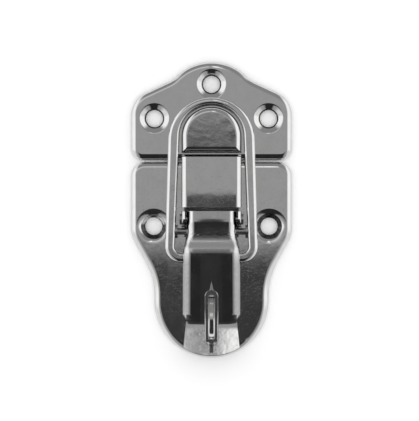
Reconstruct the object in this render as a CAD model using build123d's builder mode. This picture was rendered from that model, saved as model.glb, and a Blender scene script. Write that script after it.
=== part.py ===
"""Case toggle catch in plated sheet steel, drawn closed and lying on its back.

A catch plate with a raised dome goes on the lid of a case, and a base plate goes on the body.
A lever turns on a pin through two ears of the base plate. It carries a ring, the bail, which
drops over the dome and is drawn tight as the lever closes. A staple stands up through the
lever's slot for a padlock.

+Z points away from the case, +Y from the base plate to the catch plate and +X to the right.
The origin is on the mounting face, halfway along the closed catch. Sizes are in millimetres.
"""

import os
from math import cos, radians, sin, tan

from build123d import *

# Sheet
sheet = 1.0                  # plates, bridge and lever
bail_sheet = 0.7
rim_inside_bend = 0.9        # inside radius of the plates' turned-down rims

# Both plates
plate_half_width = 24.5
plate_height = 2.0           # face above the mounting face
seam_y = 14.8                # the two plates meet here
seam_gap = 0.4

# Screw holes, each at the bottom of a dimple that the screw head sinks into
hole_radius = 2.6
seat_radius = 2.85           # foot of the dimple's wall
dimple_angle = 57.0          # degrees between the dimple's wall and the hole's axis
catch_shoulder = 0.9         # rounding of a dimple's brim on the catch plate
base_shoulder = 3.4          # and on the base plate, where it is drawn softer

# Catch plate
catch_top_y = 45.0
lobe_radius = 15.2
throat_angle = 40.2          # degrees up the lobe at which a sloping shoulder leaves it
shoulder_slope = 25.0        # degrees
shoulder_radius = 7.9
throat_radius = 9.0          # between the lobe and the shoulders
catch_corner_radius = 3.6
catch_top_hole_y = 38.1
catch_side_hole_x = 17.3
catch_side_hole_y = 27.7

# Dome on the catch plate: the bail hooks over its round end
dome_wider = 0.3             # on each side than the bridge
dome_lip_y = 17.3
dome_arch_y = 22.05          # centre of its round end
dome_top_z = 7.2             # at its far end
dome_fall = 1.9              # degrees that its top falls towards the lip
dome_draft = 5.0             # degrees
dome_edge_radius = 1.7
dome_mouth_z = 4.6           # top of the opening under the lip

# Base plate
base_bottom_y = -45.0
base_narrower = 7.1          # on each side at its round end
base_flare = 28.3            # degrees between a sloping side and the catch's length
base_neck = 1.5              # straight run between the round end and the waist
base_side_radius = 8.5
base_waist_radius = 21.0
base_corner_radius = 4.4
base_hole_x = 17.5
base_hole_y = -5.0

# Bridge and ears, drawn up from the base plate over the window that they leave
bridge_half_width = 9.0
bridge_top_z = 8.0
bridge_upper_y = 15.9
bridge_lower_y = 0.8
bridge_edge_radius = 1.7
bridge_over_catch = 0.35     # clearance of its overhang above the catch plate
ear_end_radius = 2.5
relief_radius = 0.65         # round corner of the notch that parts the bridge from the ears
window_lower_y = -8.2
window_corner_radius = 1.2

# Lever pivot, through the ears
pivot_y = -2.8
pivot_z = 5.0
pin_radius = 1.0
pin_head_radius = 1.6
pin_head = 0.6
running_clearance = 0.05     # radial, of a pin in the hole it turns in

# Bail pivot, through the lever's flanges
bail_pivot_y = -6.5
bail_pivot_z = 4.0
bail_pin_radius = 1.0
bail_head_radius = 1.25
bail_inner_head_radius = 1.5
bail_head = 0.5
boss_radius = 2.0
boss = 0.8
flange_gap = 0.2             # between the lever's flange and the pin's inner head

# Lever
heel_y = -0.4
heel_radius = 2.4            # of its flanges, round the pivot
neck_side_gap = 0.5          # between the neck and each ear
neck_end_y = -7.2
neck_radius = 5.0
body_start_y = -12.0
body_narrower = 0.3          # on each side than the bridge
body_draw_in = 0.1           # on each side, from its lower end to the neck
neck_z = 7.4
neck_flat_y = -3.7           # the flat neck ends here, before rounding
neck_flat_radius = 4.0
dip_y = -9.2
dip_z = 6.9
dip_radius = 3.0
crest_y = -11.9
crest_z = 8.3
crest_radius = 3.6
low_from_end = 10.0          # from the lower end of the base plate
low_z = 6.2
low_radius = 8.0
flange_end_from_end = 13.4   # likewise
flange_end_length = 1.6
lever_edge_radius = 2.3
lever_above_plate = 0.4
tongue_step = 1.1            # on each side, in from the body
tip_spread = 0.8             # on each side, out from the tongue's root
tip_corner_from_end = 3.7    # likewise
tongue_slope = 15.5          # degrees
tip_inset = 1.4              # of the lever's tip from the round end of the base plate

# Slot in the lever, and the slit below it
slot_above_staple = 8.2      # from the staple's middle to the slot's upper end
slot_below_staple = 7.0      # and to the start of its taper
slot_half_width = 1.65
slot_taper = 1.7
slit_half_width = 0.3
slit_from_tip = 1.0          # from the slit's end to the lever's tip
slot_edge_radius = 0.45

# Bail
bail_underside_z = 2.3
bail_height = 3.8
bail_slack = 0.4             # between the bail's arch and the foot of the dome
bail_arch_width = 2.15
bail_arch_spread = 3.35      # by which its outer arch's radius passes its inner one's
bail_side_width = 2.9
bail_side_gap = 2.05         # between an ear and the bail's side at its lower corners
bail_lower_y = -15.85
bail_corner_radius = 4.85
bail_outer_edge_radius = 1.1
bail_inner_edge_radius = 0.8
bail_passage = 0.5           # room that the lever's flanges leave round the bail's lower bar
bail_under_lever = 0.35      # and above it

# Padlock staple
staple_thickness = 2.0
staple_from_end = 12.5       # from the lower end of the base plate
staple_radius = 6.4
staple_top_z = 14.0
staple_edge_radius = 0.55
eye_radius = 2.75
eye_wall = 1.55
tenon = 3.0
tenon_spread = 0.5           # how far the flattened tenon spreads beyond its slot
tenon_head = 0.6

catch_bottom_y = seam_y + seam_gap / 2
base_top_y = seam_y - seam_gap / 2
base_end_radius = plate_half_width - base_narrower
base_end_y = base_bottom_y + base_end_radius
base_waist_y = base_end_y + base_neck + base_waist_radius * tan(radians(base_flare / 2))
base_side_end_y = base_waist_y + base_narrower / tan(radians(base_flare))
lobe_y = catch_top_y - lobe_radius
throat_x = lobe_radius * cos(radians(throat_angle))
throat_y = lobe_y + lobe_radius * sin(radians(throat_angle))
shoulder_end_y = throat_y - (plate_half_width - throat_x) * tan(radians(shoulder_slope))
under_face_z = plate_height - sheet
bridge_inside = bridge_half_width - sheet
relief_x = bridge_half_width - sheet / 2
dome_half_width = bridge_half_width + dome_wider
neck_half_width = bridge_inside - neck_side_gap
neck_inside = neck_half_width - sheet
body_half_width = bridge_half_width - body_narrower
body_start_half_width = body_half_width - body_draw_in
tongue_half_width = body_half_width - tongue_step
tip_half_width = tongue_half_width + tip_spread
bail_top_z = bail_underside_z + bail_height
bail_lower_half_width = bridge_half_width + bail_side_gap + bail_side_width
bar_upper_y = bail_lower_y + bail_side_width
inner_arch_radius = dome_half_width + bail_slack
bail_arch_radius = inner_arch_radius + bail_arch_spread
flange_foot_z = plate_height + lever_above_plate
low_y = base_bottom_y + low_from_end
flange_end_y = base_bottom_y + flange_end_from_end
tip_corner_y = base_bottom_y + tip_corner_from_end
staple_y = base_bottom_y + staple_from_end
slot_upper_y = staple_y + slot_above_staple
slot_lower_y = staple_y - slot_below_staple
slot_taper_y = slot_lower_y - slot_taper
slit_end_y = base_bottom_y + tip_inset + slit_from_tip
very_wide = 4 * plate_half_width
very_high = 4 * staple_top_z
side_plane = Plane.YZ.offset(-very_wide)

os.makedirs("parts", exist_ok=True)

# Catch plate outline: a round lobe between two sloping shoulders
with BuildSketch() as catch_outline:
    with Locations((0, lobe_y)):
        Circle(lobe_radius)
    with Locations((0, catch_bottom_y)):
        Rectangle(very_wide, very_wide, align=(Align.CENTER, Align.MAX), mode=Mode.SUBTRACT)
    with BuildLine():
        Polyline(
            (-plate_half_width, catch_bottom_y),
            (plate_half_width, catch_bottom_y),
            (plate_half_width, shoulder_end_y),
            (throat_x, throat_y),
            (-throat_x, throat_y),
            (-plate_half_width, shoulder_end_y),
            close=True,
        )
    make_face()
    fillet(catch_outline.vertices().group_by(Axis.Y)[-1], throat_radius)
    fillet(catch_outline.vertices().group_by(Axis.Y)[1], shoulder_radius)
    fillet(catch_outline.vertices().group_by(Axis.Y)[0], catch_corner_radius)

# Base plate outline: straight sides that draw in to a round end
with BuildSketch() as base_outline:
    with BuildLine():
        Polyline(
            (-base_end_radius, base_end_y),
            (-base_end_radius, base_waist_y),
            (-plate_half_width, base_side_end_y),
            (-plate_half_width, base_top_y),
            (plate_half_width, base_top_y),
            (plate_half_width, base_side_end_y),
            (base_end_radius, base_waist_y),
            (base_end_radius, base_end_y),
        )
        ThreePointArc((base_end_radius, base_end_y), (0, base_bottom_y), (-base_end_radius, base_end_y))
    make_face()
    fillet(base_outline.vertices().group_by(Axis.Y)[1], base_waist_radius)
    fillet(base_outline.vertices().group_by(Axis.Y)[-2], base_side_radius)
    fillet(base_outline.vertices().group_by(Axis.Y)[-1], base_corner_radius)


def across(side_view):
    """A view drawn on the side plane, carried right across the catch."""
    with BuildPart() as slab:
        extrude(side_view, amount=2 * very_wide)
    return slab.part


def tray(outline):
    """A plate pressed from sheet: a flat face with its rim turned down to the mounting face."""
    with BuildPart() as pressed:
        extrude(outline, amount=plate_height)
        fillet(pressed.edges().group_by(Axis.Z)[-1], rim_inside_bend + sheet)
        with BuildSketch():
            offset(outline, amount=-sheet)
        extrude(amount=under_face_z, mode=Mode.SUBTRACT)
        hollow_edge = pressed.edges().filter_by_position(Axis.Z, under_face_z, under_face_z)
        fillet(hollow_edge, rim_inside_bend)
    return pressed.part


def dish(shoulder):
    """The space above a dimple: a turned cone whose brim flows into the plate's face."""
    brim_radius = seat_radius + (plate_height - sheet) * tan(radians(dimple_angle))
    with BuildPart() as space:
        with BuildSketch(Plane.XZ) as half:
            with BuildLine():
                Polyline(
                    (0, sheet),
                    (seat_radius, sheet),
                    (brim_radius, plate_height),
                    (2 * brim_radius, plate_height),
                    (2 * brim_radius, 2 * plate_height),
                    (0, 2 * plate_height),
                    close=True,
                )
            make_face()
            fillet(half.vertices().sort_by_distance((brim_radius, plate_height, 0))[0], shoulder)
        revolve(axis=Axis.Z)
    return space.part


def dimple_back():
    """The dimple's cone as it stands out behind the plate's sheet, down to the mounting face."""
    foot_radius = seat_radius + sheet * tan(radians(45 - dimple_angle / 2))
    with BuildPart() as cone:
        with BuildSketch(Plane.XZ):
            with BuildLine():
                Polyline(
                    (0, 0),
                    (foot_radius, 0),
                    (foot_radius + under_face_z * tan(radians(dimple_angle)), under_face_z),
                    (0, under_face_z),
                    close=True,
                )
            make_face()
        revolve(axis=Axis.Z)
    return cone.part


def dimpled(plate, hole_places, shoulder):
    """The plate with a screw hole in a pressed dimple at each place."""
    with BuildPart() as holed:
        add(plate)
        with Locations(*hole_places):
            add(dimple_back())
            add(dish(shoulder), mode=Mode.SUBTRACT)
            Hole(hole_radius)
    return holed.part


def dome(inset):
    """The dome's block, round at one end and cut off at the lip, taken in by inset."""
    half_width = dome_half_width - inset
    far_y = dome_arch_y + half_width
    with BuildSketch(side_plane) as crown_side:
        with BuildLine():
            Polyline(
                (dome_lip_y + inset, 0),
                (dome_lip_y + inset, dome_top_z - inset - (far_y - dome_lip_y) * tan(radians(dome_fall))),
                (far_y, dome_top_z - inset),
                (far_y, 0),
                close=True,
            )
        make_face()
    with BuildPart() as block:
        with BuildSketch(Plane.XY.offset(under_face_z)):
            with Locations((0, dome_arch_y)):
                Circle(half_width)
                Rectangle(2 * half_width, 2 * half_width, align=(Align.CENTER, Align.MAX))
        extrude(amount=dome_top_z, taper=dome_draft)
        add(across(crown_side.sketch), mode=Mode.INTERSECT)
        fillet(block.faces().sort_by(Axis.Z)[-1].edges(), dome_edge_radius - inset)
    return block.part


# Catch plate: a tray with three dimpled holes and the hollow dome that the bail pulls on
catch_holes = [
    (0, catch_top_hole_y),
    (-catch_side_hole_x, catch_side_hole_y),
    (catch_side_hole_x, catch_side_hole_y),
]
with BuildPart() as catch_plate:
    add(dimpled(tray(catch_outline.sketch), catch_holes, catch_shoulder))
    add(dome(0))
    add(dome(sheet), mode=Mode.SUBTRACT)
    with BuildSketch(Plane.XZ.offset(-dome_lip_y)):
        with Locations((0, plate_height)):
            Rectangle(
                2 * (dome_half_width - sheet),
                dome_mouth_z - plate_height,
                align=(Align.CENTER, Align.MIN),
            )
    extrude(amount=-2 * sheet, mode=Mode.SUBTRACT)
catch_plate.part.label = "catch_plate"
export_step(catch_plate.part, "parts/catch_plate.step")


# Bridge and ears seen from the side: the bridge overhangs the catch plate, and each ear
# runs on below it to a round end about the lever's pivot
with BuildSketch(side_plane) as bridge_side:
    with Locations((base_top_y, under_face_z)):
        Rectangle(base_top_y - pivot_y, bridge_top_z - under_face_z, align=(Align.MAX, Align.MIN))
    with Locations((bridge_upper_y, plate_height + bridge_over_catch)):
        Rectangle(
            bridge_upper_y - pivot_y,
            bridge_top_z - plate_height - bridge_over_catch,
            align=(Align.MAX, Align.MIN),
        )
    with Locations((pivot_y, under_face_z)):
        Rectangle(ear_end_radius, pivot_z - under_face_z, align=(Align.MAX, Align.MIN))
    with Locations((pivot_y, pivot_z)):
        Circle(ear_end_radius)


def channel(half_width, top_z, edge_radius):
    """A bar standing on the mounting face, its two upper edges rounded, as long as the bridge."""
    with BuildPart() as bar:
        with BuildSketch(Plane.XZ.offset(-bridge_upper_y)) as section:
            Rectangle(2 * half_width, top_z, align=(Align.CENTER, Align.MIN))
            fillet(section.vertices().group_by(Axis.Y)[-1], edge_radius)
        extrude(amount=bridge_upper_y - window_lower_y)
    return bar.part


with BuildPart() as bridge:
    add(channel(bridge_half_width, bridge_top_z, bridge_edge_radius))
    add(across(bridge_side.sketch), mode=Mode.INTERSECT)
    add(channel(bridge_inside, bridge_top_z - sheet, bridge_edge_radius - sheet), mode=Mode.SUBTRACT)
    with BuildSketch(Plane.XY.offset(pivot_z)):
        with Locations((0, bridge_lower_y)):
            Rectangle(2 * bridge_inside, very_wide, align=(Align.CENTER, Align.MAX))
        with Locations((-relief_x, bridge_lower_y - relief_radius), (relief_x, bridge_lower_y - relief_radius)):
            Circle(relief_radius)
        with Locations((0, bridge_lower_y)):
            Rectangle(2 * relief_x, 2 * relief_radius, align=(Align.CENTER, Align.MAX))
    extrude(amount=very_high, mode=Mode.SUBTRACT)

# Base plate: a tray with two dimpled holes, the window and the bridge over it, the ears drilled
# for the lever's pin, and two slots for the staple's tenons
tenon_y = staple_radius - tenon / 2 - staple_edge_radius
tenon_places = [(0, staple_y - tenon_y), (0, staple_y + tenon_y)]
base_holes = [(-base_hole_x, base_hole_y), (base_hole_x, base_hole_y)]
with BuildPart() as base_plate:
    add(dimpled(tray(base_outline.sketch), base_holes, base_shoulder))
    with BuildSketch() as window:
        with Locations((0, window_lower_y)):
            Rectangle(2 * bridge_inside, very_wide, align=(Align.CENTER, Align.MIN))
        fillet(window.vertices().group_by(Axis.Y)[0], window_corner_radius)
    extrude(amount=plate_height, mode=Mode.SUBTRACT)
    add(bridge.part)
    with BuildSketch(side_plane):
        with Locations((pivot_y, pivot_z)):
            Circle(pin_radius)
    extrude(amount=2 * very_wide, mode=Mode.SUBTRACT)
    with BuildSketch():
        with Locations(*tenon_places):
            Rectangle(staple_thickness, tenon)
    extrude(amount=plate_height, mode=Mode.SUBTRACT)
base_plate.part.label = "base_plate"
export_step(base_plate.part, "parts/base_plate.step")


# Padlock staple: a round-topped plate with an eye, its two tenons flattened behind the base plate
staple_centre_z = staple_top_z - staple_radius
eye_z = staple_top_z - eye_wall - eye_radius
with BuildPart() as padlock_staple:
    with BuildSketch(Plane.YZ):
        with Locations((staple_y, staple_centre_z)):
            Circle(staple_radius)
            Rectangle(2 * staple_radius, staple_centre_z, align=(Align.CENTER, Align.MAX))
        with Locations((staple_y, plate_height)):
            Rectangle(very_wide, very_wide, align=(Align.CENTER, Align.MAX), mode=Mode.SUBTRACT)
    extrude(amount=staple_thickness / 2, both=True)
    flats = padlock_staple.faces().filter_by(Axis.X)
    fillet(flats.edges().filter_by_position(Axis.Z, plate_height + sheet, very_high), staple_edge_radius)
    with BuildSketch(side_plane):
        with Locations((staple_y, eye_z)):
            Circle(eye_radius)
    extrude(amount=2 * very_wide, mode=Mode.SUBTRACT)
    with BuildSketch(Plane.XY.offset(under_face_z)):
        with Locations(*tenon_places):
            Rectangle(staple_thickness, tenon)
    extrude(amount=sheet)
    with BuildSketch(Plane.XY.offset(under_face_z)):
        with Locations(*tenon_places):
            Rectangle(staple_thickness + 2 * tenon_spread, tenon + 2 * tenon_spread)
    extrude(amount=-tenon_head)
padlock_staple.part.label = "padlock_staple"
export_step(padlock_staple.part, "parts/padlock_staple.step")


# Lever pin: headed over outside each ear
with BuildPart() as lever_pin:
    with BuildSketch(Plane.YZ):
        with Locations((pivot_y, pivot_z)):
            Circle(pin_radius)
    extrude(amount=bridge_half_width, both=True)
    for head_x in (bridge_half_width, -bridge_half_width - pin_head):
        with BuildSketch(Plane.YZ.offset(head_x)):
            with Locations((pivot_y, pivot_z)):
                Circle(pin_head_radius)
        extrude(amount=pin_head)
lever_pin.part.label = "lever_pin"
export_step(lever_pin.part, "parts/lever_pin.step")


# Lever outline seen from above: a neck between the ears, then the wider body
with BuildSketch() as lever_body_outline:
    with BuildLine():
        Polyline(
            (neck_half_width, heel_y),
            (neck_half_width, neck_end_y),
            (body_start_half_width, body_start_y),
            (body_half_width, flange_end_y),
            (tongue_half_width, flange_end_y - flange_end_length),
            (-tongue_half_width, flange_end_y - flange_end_length),
            (-body_half_width, flange_end_y),
            (-body_start_half_width, body_start_y),
            (-neck_half_width, neck_end_y),
            (-neck_half_width, heel_y),
            close=True,
        )
    make_face()
    fillet(lever_body_outline.vertices().group_by(Axis.Y)[-2], neck_radius)
    fillet(lever_body_outline.vertices().group_by(Axis.Y)[2], neck_radius)

# Tongue outline: a flat tail that spreads to a tip round about the same centre as the plate's end
with BuildSketch() as tongue_outline:
    with Locations((0, base_end_y)):
        Circle(base_end_radius - tip_inset)
    with BuildLine():
        Polyline(
            (tongue_half_width, flange_end_y),
            (tongue_half_width, flange_end_y - flange_end_length),
            (tip_half_width, tip_corner_y),
            (tip_half_width, base_bottom_y),
            (-tip_half_width, base_bottom_y),
            (-tip_half_width, tip_corner_y),
            (-tongue_half_width, flange_end_y - flange_end_length),
            (-tongue_half_width, flange_end_y),
            close=True,
        )
    make_face(mode=Mode.INTERSECT)

# Slot outline: round at the top, tapered at the bottom into a slit
with BuildSketch() as slot_outline:
    with Locations((0, slot_upper_y - slot_half_width)):
        Circle(slot_half_width)
    with BuildLine():
        Polyline(
            (-slot_half_width, slot_upper_y - slot_half_width),
            (-slot_half_width, slot_lower_y),
            (-slit_half_width, slot_taper_y),
            (-slit_half_width, slit_end_y),
            (slit_half_width, slit_end_y),
            (slit_half_width, slot_taper_y),
            (slot_half_width, slot_lower_y),
            (slot_half_width, slot_upper_y - slot_half_width),
            close=True,
        )
    make_face()


# Lever's upper surface seen from the side, bending up and down over its whole length, with the
# space below it filled
with BuildSketch(side_plane) as under_lever:
    with BuildLine():
        Polyline(
            (very_wide, neck_z),
            (neck_flat_y, neck_z),
            (dip_y, dip_z),
            (crest_y, crest_z),
            (low_y, low_z),
            (low_y - very_wide, low_z + very_wide * tan(radians(tongue_slope))),
            (low_y - very_wide, -very_wide),
            (very_wide, -very_wide),
            close=True,
        )
    make_face()
    for y, z, radius in (
        (neck_flat_y, neck_z, neck_flat_radius),
        (dip_y, dip_z, dip_radius),
        (crest_y, crest_z, crest_radius),
        (low_y, low_z, low_radius),
    ):
        fillet(under_lever.vertices().sort_by_distance((y, z, 0))[0], radius)


def under_lever_surface(inset):
    """The space below the lever's upper surface, or below its sheet, right across the catch."""
    return across(offset(under_lever.sketch, amount=-inset, mode=Mode.PRIVATE))


def lever_block(inset):
    """The lever's body as a solid block under its upper surface, taken in by inset."""
    with BuildPart() as block:
        with BuildSketch():
            offset(lever_body_outline.sketch, amount=-inset)
        extrude(amount=very_high)
        add(under_lever_surface(inset), mode=Mode.INTERSECT)
        upper = block.edges().filter_by_position(Axis.Z, low_z - inset - sheet, very_high)
        fillet(upper.filter_by(Axis.X, reverse=True), lever_edge_radius - inset)
    return block.part


# Lever flanges seen from the side: round about the pivot, arched over the bail's lower bar
with BuildSketch(side_plane) as flange_side:
    with Locations((pivot_y, pivot_z)):
        Circle(heel_radius)
    with BuildLine():
        Polyline(
            (heel_y, very_high),
            (heel_y, pivot_z),
            (pivot_y, flange_foot_z),
            (flange_end_y, flange_foot_z),
            (flange_end_y - flange_end_length, low_z - sheet),
            (base_bottom_y, low_z - sheet),
            (base_bottom_y, very_high),
            close=True,
        )
    make_face()
    with BuildLine():
        Polyline(
            (bar_upper_y + bail_passage, 0),
            (bar_upper_y + bail_passage, bail_top_z + bail_under_lever),
            (bail_lower_y - bail_passage, bail_top_z + bail_under_lever),
            (bail_lower_y - bail_passage, 0),
            close=True,
        )
    make_face(mode=Mode.SUBTRACT)

with BuildPart() as tongue:
    extrude(tongue_outline.sketch, amount=very_high)
    add(under_lever_surface(0), mode=Mode.INTERSECT)
    add(under_lever_surface(sheet), mode=Mode.SUBTRACT)

with BuildPart() as lever:
    add(lever_block(0))
    add(lever_block(sheet), mode=Mode.SUBTRACT)
    add(across(flange_side.sketch), mode=Mode.INTERSECT)
    add(tongue.part)
    extrude(slot_outline.sketch, amount=very_high, mode=Mode.SUBTRACT)
    upper_faces = lever.faces().filter_by(lambda face: face.normal_at().Z > 0.5)
    fillet(lever.edges(Select.LAST) & upper_faces.edges(), slot_edge_radius)
    with BuildSketch(side_plane):
        with Locations((pivot_y, pivot_z)):
            Circle(pin_radius + running_clearance)
        with Locations((bail_pivot_y, bail_pivot_z)):
            Circle(bail_pin_radius + running_clearance)
    extrude(amount=2 * very_wide, mode=Mode.SUBTRACT)
lever.part.label = "lever"
export_step(lever.part, "parts/lever.step")


# Bail outlines seen from above, each a band stretched round one arch and two corners
def ring_outline(arch_radius, arch_y, half_width, lower_y, corner_radius):
    """A closed outline: a large arch at the top, joined by straight sides to two small corners."""
    with BuildSketch() as outline:
        with Locations((0, arch_y)):
            Circle(arch_radius)
        with Locations(
            (half_width - corner_radius, lower_y + corner_radius),
            (corner_radius - half_width, lower_y + corner_radius),
        ):
            Circle(corner_radius)
        make_hull()
    return outline.sketch


outer_arch_y = dome_arch_y + inner_arch_radius + bail_arch_width - bail_arch_radius


def ring(wall):
    """The bail's ring as a solid bar, with each side and the top taken in by wall."""
    outer = ring_outline(
        bail_arch_radius - wall,
        outer_arch_y,
        bail_lower_half_width - wall,
        bail_lower_y + wall,
        bail_corner_radius - wall,
    )
    inner = ring_outline(
        inner_arch_radius + wall,
        dome_arch_y,
        bail_lower_half_width - bail_side_width + wall,
        bar_upper_y - wall,
        bail_corner_radius - bail_side_width + wall,
    )
    with BuildPart() as bar:
        with BuildSketch(Plane.XY.offset(bail_underside_z)):
            add(outer)
            add(inner, mode=Mode.SUBTRACT)
        extrude(amount=bail_height - wall)
    return bar.part


with BuildPart() as bail_band:
    add(ring(0))
    upper = bail_band.faces().sort_by(Axis.Z)[-1]
    outer_edges = upper.outer_wire().edges()
    inner_edges = upper.inner_wires()[0].edges()
    fillet(outer_edges, bail_outer_edge_radius)
    fillet(inner_edges, bail_inner_edge_radius)
    add(ring(bail_sheet), mode=Mode.SUBTRACT)

with BuildPart() as bail:
    add(bail_band.part)
    with BuildSketch(Plane.YZ):
        with Locations((bail_pivot_y, bail_pivot_z)):
            Circle(bail_pin_radius)
    extrude(amount=bail_lower_half_width - bail_side_width / 2, both=True, mode=Mode.SUBTRACT)
bail.part.label = "bail"
export_step(bail.part, "parts/bail.step")


# Bail pins: each is riveted in the bail's inner wall, turns in the lever's flange and is headed
# over behind it. A boss keeps the wall off the ear.
bail_wall_x = bail_lower_half_width - bail_side_width
pin_start_x = neck_inside - flange_gap - bail_head
pin_end_x = bail_wall_x + bail_sheet + bail_head


def bail_pin_disc(start_x, end_x, radius):
    """A disc of a bail pin, between two distances from the middle of the catch."""
    with BuildPart() as disc:
        with BuildSketch(Plane.YZ.offset(start_x)):
            with Locations((bail_pivot_y, bail_pivot_z)):
                Circle(radius)
        extrude(amount=end_x - start_x)
    return disc.part


with BuildPart() as bail_pin_right:
    add(bail_pin_disc(bail_wall_x - boss, bail_wall_x, boss_radius))
    add(bail_pin_disc(bail_wall_x, pin_end_x, bail_head_radius))
    add(bail_band.part, mode=Mode.SUBTRACT)
    add(bail_pin_disc(pin_start_x, pin_end_x, bail_pin_radius))
    add(bail_pin_disc(pin_start_x, pin_start_x + bail_head, bail_inner_head_radius))
with BuildPart() as bail_pin_left:
    add(mirror(bail_pin_right.part, about=Plane.YZ, mode=Mode.PRIVATE))
for name, pin in (("bail_pin_left", bail_pin_left), ("bail_pin_right", bail_pin_right)):
    pin.part.label = name
    export_step(pin.part, f"parts/{name}.step")
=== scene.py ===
"""Looks for a case toggle catch in pressed, nickel-plated steel, seen from straight in front.

The pieces follow the order in which the catch is put together. Sizes and places are in metres:
X runs across the catch, Y along it towards the dome, and Z up from the paper.
"""

import bpy
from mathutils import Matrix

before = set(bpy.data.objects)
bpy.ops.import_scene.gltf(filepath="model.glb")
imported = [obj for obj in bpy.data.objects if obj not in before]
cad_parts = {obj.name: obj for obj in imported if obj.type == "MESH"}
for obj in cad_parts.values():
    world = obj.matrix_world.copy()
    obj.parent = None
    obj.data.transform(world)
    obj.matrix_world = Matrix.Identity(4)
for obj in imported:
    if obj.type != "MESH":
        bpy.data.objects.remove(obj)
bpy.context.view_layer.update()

# Catch plate: one piece of sheet steel, pressed with a dome and three dimpled holes.
# It is barrel-finished and then nickel plated, so it is bright, with faint ripples from
# the press, smears from handling and thin scratches.


class Nodes:
    """The nodes of one material or world, made with their settings and inputs in one call."""

    def __init__(self, owner):
        owner.use_nodes = True
        self.tree = owner.node_tree
        self.tree.nodes.clear()

    def add(self, kind, inputs=None, **settings):
        """A new node. An input is a socket to link or else a value to set."""
        made = self.tree.nodes.new("ShaderNode" + kind)
        for key, value in settings.items():
            setattr(made, key, value)
        for key, value in (inputs or {}).items():
            if isinstance(value, bpy.types.NodeSocket):
                self.tree.links.new(value, made.inputs[key])
            else:
                made.inputs[key].default_value = value
        return made

    def axes(self, place):
        """The three axes of a place, each on its own."""
        apart = self.add("SeparateXYZ", {"Vector": place}).outputs
        return apart["X"], apart["Y"], apart["Z"]

    def mapped(self, place, scale, turn=0.0):
        """A place scaled along each axis, then turned about Z."""
        inputs = {"Vector": place, "Scale": scale, "Rotation": (0, 0, turn)}
        return self.add("Mapping", inputs).outputs["Vector"]

    def distance(self, place, point):
        """How far a place is from a fixed point."""
        inputs = {0: place, 1: point}
        return self.add("VectorMath", inputs, operation="DISTANCE").outputs["Value"]

    def noise(self, place, scale, detail, roughness=0.5):
        """Cloudy noise round 0.5, of about scale lumps to each unit of place."""
        inputs = {"Vector": place, "Scale": scale, "Detail": detail, "Roughness": roughness}
        return self.add("TexNoise", inputs).outputs["Fac"]

    def mix(self, factor, first, second, data_type="FLOAT"):
        """Goes from first to second as factor goes from 0 to 1."""
        inputs = {"Factor": factor, "A": first, "B": second}
        return self.add("Mix", inputs, data_type=data_type).outputs["Result"]

    def maths(self, operation, *values):
        """One step of arithmetic, by Blender's own name for it."""
        inputs = dict(enumerate(values))
        return self.add("Math", inputs, operation=operation).outputs["Value"]

    def product(self, *values):
        """All the values multiplied together, from the first to the last."""
        result = values[0]
        for value in values[1:]:
            result = self.maths("MULTIPLY", result, value)
        return result

    def between(self, value, low, high, to_low=0.0, to_high=1.0, smooth=True):
        """Carries value from low..high to to_low..to_high, held level outside that."""
        inputs = {"Value": value, "From Min": low, "From Max": high,
                  "To Min": to_low, "To Max": to_high}
        curve = "SMOOTHSTEP" if smooth else "LINEAR"
        return self.add("MapRange", inputs, interpolation_type=curve).outputs["Result"]

    def band(self, value, starts, full, still_full, ends, strength=1.0):
        """Grows from 0 at starts to strength at full, and shrinks from still_full to 0 at ends."""
        growing = self.between(value, starts, full, 0.0, strength)
        return self.product(growing, self.between(value, ends, still_full))


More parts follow.
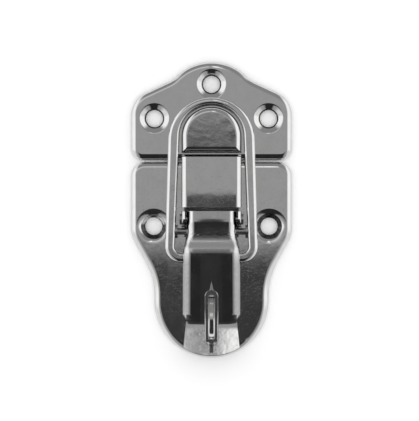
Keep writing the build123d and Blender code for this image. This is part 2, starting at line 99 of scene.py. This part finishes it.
def plating(name, tint, shine, ripple, wear, turn, dents=None, painted_dark=None, rub=None):
    """Nickel plate, from noise on the piece's own coordinates in millimetres, turned by turn.

    Height, in tenths of a millimetre, is broad ripples plus a fine grain less pits and thin
    scratches, and dents may add a form of its own. Smears raise the roughness from shine to
    shine + wear, darken the tint a little and lie on the metal as a thin dull film. Scratches
    add to the roughness too. The mask painted_dark marks what is painted nearly black and made
    rougher, mostly as painted shade, broken up by the noise that also gives the ripples their
    peel, and rub is a mask of what is rubbed dull.
    """
    smeared_tint = [0.86 * c for c in tint]
    nearly_black = (0.04, 0.04, 0.04, 1)
    scratch_dulls, painted_dark_dulls, rub_dulls = 0.06, 0.2, 0.25
    peel_height, grain_height, scratch_depth, pit_depth = 0.12 * ripple, 0.0015, -0.006, -0.03
    all_metal, under_film = 1.0, 0.985
    tenth_of_mm = 0.0001

    material = bpy.data.materials.new(name)
    n = Nodes(material)
    place = n.add("TexCoord").outputs["Object"]
    mm = n.mapped(place, (1000, 1000, 1000), turn)
    smears = n.noise(mm, 0.22, detail=5.0, roughness=0.6)
    waves = n.noise(mm, 0.30, detail=2.0)
    peel = n.noise(mm, 1.1, detail=2.0)
    grain = n.noise(mm, 4.0, detail=3.0, roughness=0.6)
    specks = n.noise(mm, 2.4, detail=1.0, roughness=0.4)
    pits = n.between(specks, 0.66, 0.74)
    drawn_out = n.mapped(mm, (3.0, 0.16, 3.0), turn=0.6)
    scratches = n.band(n.noise(drawn_out, 2.2, detail=2.0), 0.66, 0.69, 0.69, 0.72)

    dull = n.between(smears, 0.35, 0.75, shine, shine + wear)
    roughness = n.maths("MULTIPLY_ADD", scratches, scratch_dulls, dull)
    film = n.between(smears, 0.42, 0.70, all_metal, under_film)
    colour = n.mix(smears, (*tint, 1), (*smeared_tint, 1), "RGBA")
    if painted_dark:
        # Painted nearly black where the mask is 1: painted shade on the plates and the lever.
        black = n.product(painted_dark(n, place), n.between(peel, 0.2, 0.7, 0.85, 1.0))
        colour = n.mix(black, colour, nearly_black, "RGBA")
        roughness = n.maths("MULTIPLY_ADD", black, painted_dark_dulls, roughness)
    if rub:
        roughness = n.maths("MULTIPLY_ADD", rub(n, place), rub_dulls, roughness)

    height = n.product(waves, ripple)
    height = n.maths("MULTIPLY_ADD", peel, peel_height, height)
    height = n.maths("MULTIPLY_ADD", grain, grain_height, height)
    height = n.maths("MULTIPLY_ADD", scratches, scratch_depth, height)
    height = n.maths("MULTIPLY_ADD", pits, pit_depth, height)
    if dents:
        height = n.maths("ADD", height, dents(n, place))
    bump = n.add("Bump", {"Height": height, "Strength": 1.0, "Distance": tenth_of_mm})
    metal = n.add("BsdfPrincipled", {"Base Color": colour, "Metallic": film,
                                     "Roughness": roughness, "Normal": bump.outputs["Normal"]})
    n.add("OutputMaterial", {"Surface": metal.outputs["BSDF"]})
    return material


def dress(name, material):
    """Gives every material slot of a piece the same finish."""
    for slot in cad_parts[name].material_slots:
        slot.material = material


soft_edge = 0.0002


def round_holes_mask(holes, reach):
    """A mask round screw holes, for painted shade at their rims and for the base holes' wrinkled
    walls.

    It is 1 as far as reach from the middle of the nearest hole, and 0 a soft edge beyond that.
    """
    def mask(n, place):
        flat = n.mapped(place, (1, 1, 0))
        nearest = 1.0
        for x, y in holes:
            nearest = n.maths("MINIMUM", n.distance(flat, (x, y, 0)), nearest)
        return n.between(nearest, reach + soft_edge, reach)
    return mask


def sagging_dome(n, place):
    """Leans the dome's top towards its lip.

    It rises by the square of the millimetres from the lip, on the top alone.
    """
    _, y, z = n.axes(place)
    lip_in_mm, wall_ends, top_starts, rise = 18.0, 0.0058, 0.0064, 0.0035
    away = n.maths("MAXIMUM", n.maths("MULTIPLY_ADD", y, 1000.0, -lip_in_mm), 0.0)
    return n.product(away, away, n.between(z, wall_ends, top_starts, 0.0, rise))


plate_tint = (0.72, 0.72, 0.715)
catch_holes = [(0, 0.0381), (-0.0173, 0.0277), (0.0173, 0.0277)]
catch_shade_reach = 0.0029
# Round each hole, out to a little past its rim, the plate is painted nearly black as painted
# shade.
dress("catch_plate", plating("catch_plate_nickel", plate_tint, shine=0.045, ripple=0.06,
                             wear=0.04, turn=0.3, dents=sagging_dome,
                             painted_dark=round_holes_mask(catch_holes, catch_shade_reach)))

# Base plate: the second pressed and nickel-plated sheet, with the bridge and both ears drawn up
# from it. The bridge was sheared across at its lower end, which drew its last few millimetres
# down. Painted shade darkens the inside of it, round the holes and below the lever's slit.
base_holes = [(-0.0175, -0.005), (0.0175, -0.005)]
hole_wall_reach, hole_shade_reach = 0.0034, 0.0038


def drawn_base(n, place):
    """Leans the bridge's top down to its sheared end, and wrinkles the holes' upper walls.

    The lean falls smoothly from level to sheared end, on the top alone. The wrinkles are noise,
    deeper the higher up the hole.
    """
    _, y, z = n.axes(place)
    sheared, level, fall = -0.002, 0.007, -1.3
    below_top, top = 0.0072, 0.0079
    hole_middle, hole_upper, wrinkle_height = -0.0052, -0.0036, 2.2
    lean = n.product(n.between(y, sheared, level, fall, 0.0), n.between(z, below_top, top))
    wrinkles = n.noise(place, 1300.0, detail=1.0)
    wall = n.product(round_holes_mask(base_holes, hole_wall_reach)(n, place),
                     n.between(y, hole_middle, hole_upper, 0.0, wrinkle_height))
    return n.maths("MULTIPLY_ADD", wrinkles, wall, lean)


def base_shade(n, place):
    """A mask of painted shade inside the bridge and ears, below the lever's slit and in the holes.

    The right hole has it all round, and the left one along its lower side. Each place is a
    product of ramps across, along and up, and the strongest of them counts.
    """
    x, y, z = n.axes(place)
    out = n.maths("ABSOLUTE", x)
    ears_apart, underside, ears_end = 0.0081, 0.0071, -0.0082
    along_slit, beside_slit, in_slit = (-0.0405, -0.0412, -0.0433, -0.0440), 0.0011, 0.0006
    hole_upper, hole_lower, left, right = -0.0036, -0.0048, -0.001, 0.001
    inside = n.product(n.between(out, ears_apart + soft_edge, ears_apart),
                       n.between(z, underside + soft_edge, underside),
                       n.between(y, ears_end - soft_edge, ears_end))
    below_slit = n.product(n.band(y, *along_slit, strength=0.9),
                           n.between(out, beside_slit, in_slit))
    lower_or_right = n.maths("MAXIMUM", n.between(y, hole_upper, hole_lower),
                             n.between(x, left, right))
    in_holes = n.product(lower_or_right, round_holes_mask(base_holes, hole_shade_reach)(n, place))
    return n.maths("MAXIMUM", n.maths("MAXIMUM", inside, below_slit), in_holes)


dress("base_plate", plating("base_plate_nickel", plate_tint, shine=0.045, ripple=0.05,
                            wear=0.04, turn=1.4, dents=drawn_base, painted_dark=base_shade))

# Padlock staple: a blanked steel plate with an eye, its tenons flattened behind the base plate.
# It is plated together with the base plate.
# The corners along both flat sides of its upper half are painted nearly black and made rougher.


def dark_upper_corners(n, place):
    """A mask of the corners along both flat sides, above the middle of the staple."""
    x, y, _ = n.axes(place)
    flat, corner, strength = 0.0004, 0.0007, 0.72
    below_middle, above_middle = -0.0335, -0.0315
    return n.product(n.between(n.maths("ABSOLUTE", x), flat, corner, 0.0, strength),
                     n.between(y, below_middle, above_middle))


dress("padlock_staple", plating("staple_nickel", (0.70, 0.70, 0.69), shine=0.12, ripple=0.3,
                                wear=0.12, turn=2.0, painted_dark=dark_upper_corners))

# Lever pin: a short length of steel rod through both ears and the lever between them, headed
# over outside each ear. Its heads keep the marks of the riveting.
pin_tint = (0.42, 0.42, 0.415)
dress("lever_pin", plating("lever_pin_steel", pin_tint, shine=0.25, ripple=0.6, wear=0.12,
                           turn=0.9))

# Lever: a channel with an upswept tongue, pressed from sheet steel, nickel plated and hung on
# the lever pin. Thumbs have rubbed its crest dull, and painted shade darkens its long edges,
# the dip, the place past the crest and the slit.

# Where along the lever each mark starts, is full, is still full and ends.
dip_mottle = (-0.0050, -0.0080, -0.0092, -0.0105)
# The next four marks are painted shade: in the dip, past the crest, on the body's edges and in the
# slit.
dip_shade = (-0.0076, -0.0082, -0.0087, -0.0096)
crest_shade = (-0.0113, -0.0120, -0.0125, -0.0134)
shaded_edge = (-0.0115, -0.0165, -0.0305, -0.0345)
slit_shade = (-0.0408, -0.0413, -0.0425, -0.0428)
mottle_height, dish_height, crease_depth = 0.8, 0.9, 0.95
top_shade_strength, edge_strength, slit_strength = 0.6, 0.48, 0.85


def drawn_lever(n, place):
    """Crowns the lever's top, dishes its neck, mottles its dip and creases it above its slot.

    The crown falls by the square of the millimetres past flat_half. The dish rises towards the
    middle line. The crease is deepest on the middle line, and each millimetre out takes
    crease_slope from its depth. The mottle is noise.
    """
    x, y, _ = n.axes(place)
    flat_half, crown_fall, crease_slope = 3.2, -0.11, -1.4
    tongue, body = -0.0345, -0.0315
    dish_edge, dish_middle, dip, neck = 5.5, 0.5, -0.0055, -0.0025
    crease_tip, crease_full, slot, above_slot = -0.0213, -0.0243, -0.030, -0.029
    out = n.product(n.maths("ABSOLUTE", x), 1000.0)
    past = n.maths("MAXIMUM", n.maths("SUBTRACT", out, flat_half), 0.0)
    crown = n.product(past, past, n.between(y, tongue, body, 0.0, crown_fall))
    dish = n.product(n.between(out, dish_edge, dish_middle),
                     n.between(y, dip, neck, 0.0, dish_height))
    depth = n.product(n.between(y, crease_tip, crease_full, 0.0, crease_depth, smooth=False),
                      n.between(y, slot, above_slot))
    crease = n.maths("MAXIMUM", n.maths("MULTIPLY_ADD", out, crease_slope, depth), 0.0)
    form = n.maths("SUBTRACT", n.maths("ADD", crown, dish), crease)
    return n.maths("MULTIPLY_ADD", n.noise(place, 1400.0, detail=1.0),
                   n.band(y, *dip_mottle, mottle_height), form)


def lever_shade(n, place):
    """A mask of painted shade on the body's long edges, in the dip, past the crest and in the
    slit, the strongest of them at each place.
    """
    x, y, _ = n.axes(place)
    out = n.maths("ABSOLUTE", x)
    edge_starts, edge_full = 0.0058, 0.0069
    top_ends, top_full = 0.0062, 0.0052
    beside_slit, inside_slit = 0.0008, 0.0005
    edges = n.product(n.between(out, edge_starts, edge_full),
                      n.band(y, *shaded_edge, edge_strength))
    either = n.maths("ADD", n.band(y, *dip_shade, top_shade_strength),
                     n.band(y, *crest_shade, top_shade_strength))
    on_top = n.product(either, n.between(out, top_ends, top_full))
    in_slit = n.product(n.band(y, *slit_shade, slit_strength),
                        n.between(out, beside_slit, inside_slit))
    return n.maths("MAXIMUM", edges, n.maths("MAXIMUM", on_top, in_slit))


def rubbed_crest(n, place):
    """A mask of the crest below the dip and, a quarter as strong, of the neck above it."""
    _, y, _ = n.axes(place)
    neck, dip, neck_strength = -0.0072, -0.0090, 0.25
    crest_ends, crest_full = -0.0140, -0.0120
    return n.product(n.between(y, neck, dip, neck_strength, 1.0),
                     n.between(y, crest_ends, crest_full))


dress("lever", plating("lever_nickel", (0.73, 0.73, 0.725), shine=0.04, ripple=0.08, wear=0.03,
                       turn=2.7, dents=drawn_lever, painted_dark=lever_shade, rub=rubbed_crest))

# Bail and its pins: a ring pressed as a U-shaped channel, with a steel pin riveted in each side.
# The ring is nickel plated before that, and the pins are a little duller.
dress("bail", plating("bail_nickel", (0.74, 0.74, 0.735), shine=0.08, ripple=0.15, wear=0.10,
                      turn=0.1))
pin_finish = plating("bail_pin_steel", pin_tint, shine=0.25, ripple=0.6, wear=0.12, turn=1.9)
dress("bail_pin_left", pin_finish)
dress("bail_pin_right", pin_finish)

# Floor: a sheet of white paper, just under the catch and far wider than the picture.
# The camera and the metal see it a little lighter than it is lit, except in a patch round the
# middle of the bridge, where the lift is left out as painted shade under it.
white = (1, 1, 1, 1)
paper_white = (0.97, 0.97, 0.97, 1)
paper_size, paper_top = 3, -0.0001
bridge_middle, dark_reach, light_reach, lift_strength = (0, -0.004, 0), 0.012, 0.016, 0.06
bpy.ops.mesh.primitive_plane_add(size=paper_size)
floor = bpy.context.object
floor.name = "floor"
floor.location.z = paper_top
paper = bpy.data.materials.new("floor_paper")
n = Nodes(paper)
from_bridge = n.distance(n.add("TexCoord").outputs["Object"], bridge_middle)
ray = n.add("LightPath").outputs
seen = n.maths("MAXIMUM", ray["Is Camera Ray"], ray["Is Glossy Ray"])
lift = n.product(n.between(from_bridge, dark_reach, light_reach, 0.0, lift_strength), seen)
matt = n.add("BsdfDiffuse", {"Color": paper_white})
glow = n.add("Emission", {"Color": white, "Strength": lift})
sheet = n.add("AddShader", {0: matt.outputs["BSDF"], 1: glow.outputs["Emission"]})
n.add("OutputMaterial", {"Surface": sheet.outputs["Shader"]})
floor.data.materials.append(paper)

# Light: a white tent all round. The metal reflects its inside: white at the sides, grey overhead,
# two lamps beyond the far end, and the dark opening at the near end. Paper is lit by all of it
# but a slit across the top, and the camera sees it plain white.
tent = bpy.data.worlds.new("light_tent")
bpy.context.scene.world = tent
n = Nodes(tent)
across, along, _ = n.axes(n.add("TexCoord").outputs["Generated"])
either_side, either_end = n.maths("ABSOLUTE", across), n.maths("ABSOLUTE", along)

# Outwards is how far a direction points to either side, less some of how far along it points.
narrowing, narrowing_ends = -0.4, 0.4
outwards = n.maths("MULTIPLY_ADD", n.maths("MINIMUM", either_end, narrowing_ends), narrowing,
                   either_side)

# The opening is darkest far in, and a little lighter down its middle.
opening_edge, opening_flank = (-0.020, -0.030), (0.24, 0.06)
far_in, near_edge, far_level, near_level = -0.20, -0.034, 0.024, 0.052
middle_reach, middle_gain = 0.013, 1.7
opening = n.product(n.between(along, *opening_edge), n.between(outwards, *opening_flank))
dark = n.product(n.between(along, far_in, near_edge, far_level, near_level),
                 n.between(either_side, 0.0, middle_reach, middle_gain, 1.0))

# The cloth overhead is grey, and darker towards the far end, where the lamps hang.
cloth_near, cloth_far, near_grey, far_grey = 0.20, 0.42, 0.42, 0.31
lamps_along = (0.14, 0.42, 0.48, 0.56)
right_lamp_across, right_strength = (0.001, 0.020, 0.04, 0.10), 1.2
left_lamp_across, left_strength = (-0.008, -0.017), 0.45
grey = n.between(along, cloth_near, cloth_far, near_grey, far_grey)
lamps = n.maths("MAXIMUM", n.band(across, *right_lamp_across, right_strength),
                n.between(across, *left_lamp_across, 0.0, left_strength))
lamps = n.product(lamps, n.band(along, *lamps_along))
overhead = n.maths("ADD", n.mix(opening, grey, dark), lamps)

# The side walls are white, and a little less so beside the opening.
wall_starts, wall_full = 0.32, 0.62
beside_opening, past_opening, dim_white, full_white = -0.24, -0.06, 0.95, 1.28
side_white = n.between(along, beside_opening, past_opening, dim_white, full_white)
inside = n.mix(n.between(outwards, wall_starts, wall_full), overhead, side_white)

# What lights the paper is dim in the slit across the top, and white past it.
in_slit, past_slit, slit_level, past_level = 0.08, 0.12, 0.05, 1.16
on_paper = n.between(either_end, in_slit, past_slit, slit_level, past_level)
ray = n.add("LightPath").outputs
level = n.mix(ray["Is Diffuse Ray"], inside, on_paper)
level = n.mix(ray["Is Camera Ray"], level, 1.0)
lit = n.add("Background", {"Color": white, "Strength": level})
n.add("OutputWorld", {"Surface": lit.outputs["Background"]})

# Camera: straight above the face, far enough back that near and far pieces show at nearly one
# scale. It looks at a point on the plates' faces, a little left of and below their middle.
frame_width = 0.12696
camera_height = 0.50
sensor_width = 36.0
aim_x, aim_y, aim_z = -0.0006, -0.0002, 0.002
camera_data = bpy.data.cameras.new("camera")
camera_data.sensor_fit = "HORIZONTAL"
camera_data.sensor_width = sensor_width
camera_data.lens = sensor_width * camera_height / frame_width
camera = bpy.data.objects.new("camera", camera_data)
camera.location = (aim_x, aim_y, aim_z + camera_height)
bpy.context.scene.collection.objects.link(camera)
bpy.context.scene.camera = camera
bpy.context.scene.view_settings.view_transform = "Standard"
